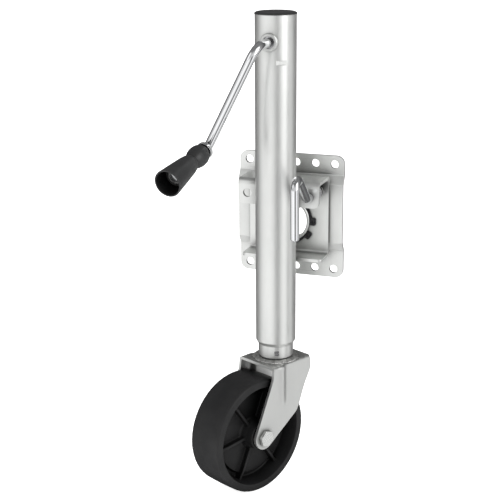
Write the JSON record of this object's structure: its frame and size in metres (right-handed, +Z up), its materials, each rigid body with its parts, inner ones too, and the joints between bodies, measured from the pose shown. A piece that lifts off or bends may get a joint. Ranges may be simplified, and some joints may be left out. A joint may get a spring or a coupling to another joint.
{
  "type": "trailer tongue jack",
  "caption": "Bolt-on swing-up trailer tongue jack: side-wind crank, telescoping round tubes, snap-ring pivot with a spring pull pin, and a trailing caster wheel.",
  "frame": {"origin": "centre of the outer bolt holes, on the back face of the mounting plate", "axes": "+Y points into the trailer frame, square to the mounting face; +Z is up along the jack tubes; +X is to the right for someone facing the jack"},
  "size_m": [0.1609, 0.2374, 0.6018],
  "materials": {
    "zinc_steel": "bright satin zinc plate",
    "chrome_rod": "bright chrome",
    "hardened_steel": "machined, oiled",
    "weld_metal": "rippled bead under zinc plate",
    "black_phosphate": "black phosphate spring steel",
    "bronze": "sintered bronze",
    "black_plastic": "satin moulded",
    "black_grip": "fine matt texture",
    "black_wheel": "satin moulded polymer"
  },
  "bodies": {
    "mount": {"mounting_plate": "zinc_steel", "pivot_hub": "zinc_steel", "hub_weld": "weld_metal", "snap_ring": "black_phosphate"},
    "jack": {"outer_tube": "zinc_steel", "swivel_bracket": "zinc_steel", "bracket_welds": "weld_metal", "top_cap": "black_plastic", "front_bushing": "hardened_steel", "rear_bushing": "hardened_steel", "bearing_plate": "hardened_steel", "upper_race": "hardened_steel"},
    "pull_pin_body": {"pull_pin": "chrome_rod", "cross_pin": "hardened_steel", "spring_washer": "zinc_steel", "pin_spring": "hardened_steel"},
    "crank": {"crank_rod": "chrome_rod", "pinion": "hardened_steel", "pinion_pin": "hardened_steel", "shaft_clip": "black_phosphate", "handle_ferrule": "chrome_rod", "grip_push_nut": "zinc_steel"},
    "grip": {"handle_grip": "black_grip"},
    "screw": {"lead_screw": "hardened_steel", "screw_gear": "hardened_steel", "gear_pin": "hardened_steel", "lower_race": "hardened_steel"},
    "bearing": {"bearing_cage": "bronze", "bearing_balls": "hardened_steel"},
    "ram": {"inner_tube": "zinc_steel", "screw_nut": "hardened_steel", "stem_pins": "hardened_steel"},
    "caster": {"caster_fork": "zinc_steel", "caster_stem": "zinc_steel", "stem_weld": "weld_metal", "axle_bolt": "zinc_steel", "axle_nut": "zinc_steel", "axle_sleeve": "hardened_steel", "axle_washers": "zinc_steel"},
    "wheel_body": {"wheel": "black_wheel", "wheel_bushing": "bronze"}
  },
  "joints": [
    {"name": "swing", "type": "hinge", "parent": "mount", "child": "jack", "pos_m": [0, 0, -0.004], "axis": [0, -1, 0], "range_deg": [0, 90]},
    {"name": "pin_pull", "type": "slide", "parent": "jack", "child": "pull_pin_body", "axis": [0, -1, 0], "range_m": [-0.0055, 0.012], "stiffness_N_per_m": 800, "springref_m": -0.02, "deforming": ["pin_spring"]},
    {"name": "crank_turn", "type": "hinge", "parent": "jack", "child": "crank", "pos_m": [0, -0.068, 0.231], "axis": [0, 1, 0], "range_deg": [0, 18000]},
    {"name": "grip_spin", "type": "hinge", "parent": "crank", "child": "grip", "pos_m": [-0.06174, -0.138, 0.10982], "axis": [-0.1251, -0.9613, -0.2456], "continuous": true},
    {"name": "screw_turn", "type": "hinge", "parent": "jack", "child": "screw", "pos_m": [0, -0.068, 0.2], "axis": [0, 0, -1], "range_deg": [0, 18000]},
    {"name": "cage_turn", "type": "hinge", "parent": "jack", "child": "bearing", "pos_m": [0, -0.068, 0.1974], "axis": [0, 0, -1], "range_deg": [0, 9000]},
    {"name": "ram_slide", "type": "slide", "parent": "jack", "child": "ram", "axis": [0, 0, -1], "range_m": [0, 0.254]},
    {"name": "caster_swivel", "type": "hinge", "parent": "ram", "child": "caster", "pos_m": [0, -0.068, -0.17], "axis": [0, 0, 1], "continuous": true},
    {"name": "wheel_spin", "type": "hinge", "parent": "caster", "child": "wheel_body", "pos_m": [-0.02301, -0.11296, -0.2615], "axis": [0.8902, -0.4555, 0], "continuous": true}
  ],
  "couplings": [
    {"joint": "screw_turn", "follows": "crank_turn", "ratio": 1},
    {"joint": "cage_turn", "follows": "crank_turn", "ratio": 0.5},
    {"joint": "ram_slide", "follows": "crank_turn", "m_per_rad": 0.00080851}
  ]
}
